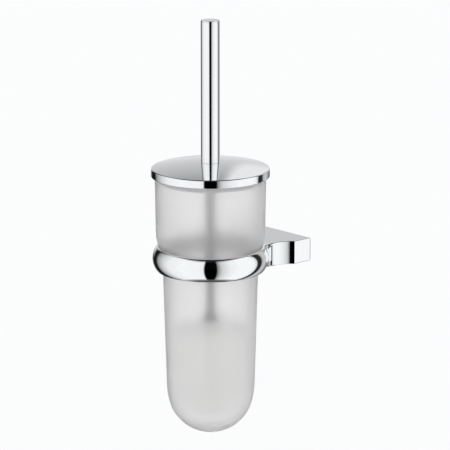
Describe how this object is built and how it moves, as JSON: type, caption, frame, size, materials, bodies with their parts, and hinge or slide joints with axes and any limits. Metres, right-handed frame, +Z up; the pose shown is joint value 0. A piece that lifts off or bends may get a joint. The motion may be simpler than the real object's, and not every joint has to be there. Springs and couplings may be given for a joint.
{
  "type": "toilet brush holder",
  "caption": "Wall-hung toilet brush holder: chromed bracket and ring carrying a round-bottomed frosted glass, with a lidded brush on a straight handle.",
  "frame": {"origin": "on the wall, at the middle of the bracket and halfway between the two wall screws", "axes": "+Z up along the handle, +Y into the wall, so the glass stands out along -Y, and +X to the right when facing the wall"},
  "size_m": [0.11, 0.147, 0.3922],
  "materials": {
    "chrome": "polished",
    "steel": "satin",
    "zinc_steel": "satin",
    "brass": "satin",
    "frosted_glass": "matte",
    "clear_liner": "satin",
    "white_plastic": "satin",
    "seal_rubber": "matte",
    "bristles": "matte"
  },
  "bodies": {
    "holder": {"wall_plate": "zinc_steel", "wall_bracket": "chrome", "bracket_grub_screw": "steel", "glass_ring": "chrome", "ring_screw": "steel", "ring_screw_washer": "steel", "ring_liner": "clear_liner"},
    "glass": {"glass_tumbler": "frosted_glass"},
    "brush": {"handle_tube": "chrome", "handle_cap": "chrome", "handle_insert": "brass", "lid_shell": "chrome", "lid_liner": "white_plastic", "lid_washer": "steel", "lid_nut": "steel", "brush_stem": "steel"},
    "head_washer": {"head_washer": "seal_rubber"},
    "brush_head": {"brush_core": "white_plastic", "core_insert": "brass", "side_bristles": "bristles", "tip_bristles": "bristles"}
  },
  "joints": [
    {"name": "glass_lift", "type": "slide", "parent": "holder", "child": "glass", "axis": [0, 0, 1], "range_m": [0, 0.2]},
    {"name": "brush_lift", "type": "slide", "parent": "glass", "child": "brush", "axis": [0, 0, 1], "range_m": [0, 0.24]},
    {"name": "head_advance", "type": "slide", "parent": "brush", "child": "head_washer", "axis": [0, 0, -1], "range_m": [0, 0.01]},
    {"name": "head_unscrew", "type": "hinge", "parent": "head_washer", "child": "brush_head", "pos_m": [0, -0.092, -0.0593], "axis": [0, 0, -1], "range_deg": [0, 2880]}
  ],
  "couplings": [
    {"joint": "head_advance", "follows": "head_unscrew", "m_per_rad": 0.0001989}
  ]
}
